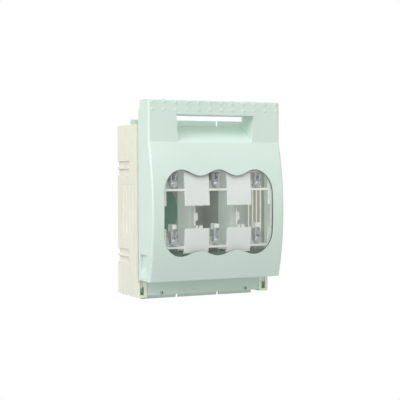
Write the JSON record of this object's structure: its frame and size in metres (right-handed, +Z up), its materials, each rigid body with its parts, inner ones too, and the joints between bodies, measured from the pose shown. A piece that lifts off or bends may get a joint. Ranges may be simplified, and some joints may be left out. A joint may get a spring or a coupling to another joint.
{
  "type": "fused disconnect switch",
  "caption": "Panel-mounted fuse switch with a deep open-ended base, a swing-out cover with handle and lobed clear window, and sliding terminal shrouds.",
  "frame": {"origin": "centre of the rear mounting face and of the four fixing holes", "axes": "+X to the right, +Y to the rear through the panel, +Z up; the front with the cover faces -Y"},
  "size_m": [0.184, 0.1122, 0.2485],
  "materials": {
    "ivory_plastic": "fine moulded, satin",
    "mint_plastic": "fine moulded, satin",
    "carrier_plastic": "fine moulded, satin",
    "clear_window": "polished, clear",
    "silvered_copper": "silver-plated, dull",
    "spring_steel": "satin",
    "zinc_steel": "zinc-plated",
    "arc_plate_steel": "satin",
    "chute_board": "matt"
  },
  "bodies": {
    "base": {"base_housing": "ivory_plastic", "line_contact_l1": "silvered_copper", "line_contact_l2": "silvered_copper", "line_contact_l3": "silvered_copper", "load_contact_l1": "silvered_copper", "load_contact_l2": "silvered_copper", "load_contact_l3": "silvered_copper", "line_jaw_spring_l1": "spring_steel", "line_jaw_spring_l2": "spring_steel", "line_jaw_spring_l3": "spring_steel", "load_jaw_spring_l1": "spring_steel", "load_jaw_spring_l2": "spring_steel", "load_jaw_spring_l3": "spring_steel", "arc_chute_l1": "chute_board", "arc_chute_l2": "chute_board", "arc_chute_l3": "chute_board", "arc_plates_l1": "arc_plate_steel", "arc_plates_l2": "arc_plate_steel", "arc_plates_l3": "arc_plate_steel", "line_terminal_bolts": "zinc_steel", "line_terminal_washers": "zinc_steel", "line_spring_washers": "spring_steel", "line_terminal_nuts": "zinc_steel", "line_contact_screws": "zinc_steel", "load_terminal_bolts": "zinc_steel", "load_terminal_washers": "zinc_steel", "load_spring_washers": "spring_steel", "load_terminal_nuts": "zinc_steel", "load_contact_screws": "zinc_steel", "hinge_pin_left": "zinc_steel", "hinge_pin_right": "zinc_steel"},
    "cover": {"hinge_arm_left": "ivory_plastic", "hinge_arm_right": "ivory_plastic", "cover_shell": "mint_plastic", "window": "clear_window", "fuse_carrier": "carrier_plastic", "upper_grip_l1": "spring_steel", "upper_grip_l2": "spring_steel", "upper_grip_l3": "spring_steel", "lower_grip_l1": "spring_steel", "lower_grip_l2": "spring_steel", "lower_grip_l3": "spring_steel", "grip_screws": "zinc_steel", "carrier_screws": "zinc_steel"},
    "top_shroud": {"top_terminal_shroud": "mint_plastic"},
    "bottom_shroud": {"bottom_terminal_shroud": "mint_plastic"}
  },
  "joints": [
    {"name": "cover_swing", "type": "hinge", "parent": "base", "child": "cover", "pos_m": [0, -0.06, -0.0995], "axis": [1, 0, 0], "range_deg": [0, 75]},
    {"name": "top_shroud_slide", "type": "slide", "parent": "base", "child": "top_shroud", "axis": [0, 0, 1], "range_m": [0, 0.04]},
    {"name": "bottom_shroud_slide", "type": "slide", "parent": "base", "child": "bottom_shroud", "axis": [0, 0, -1], "range_m": [0, 0.04]}
  ]
}
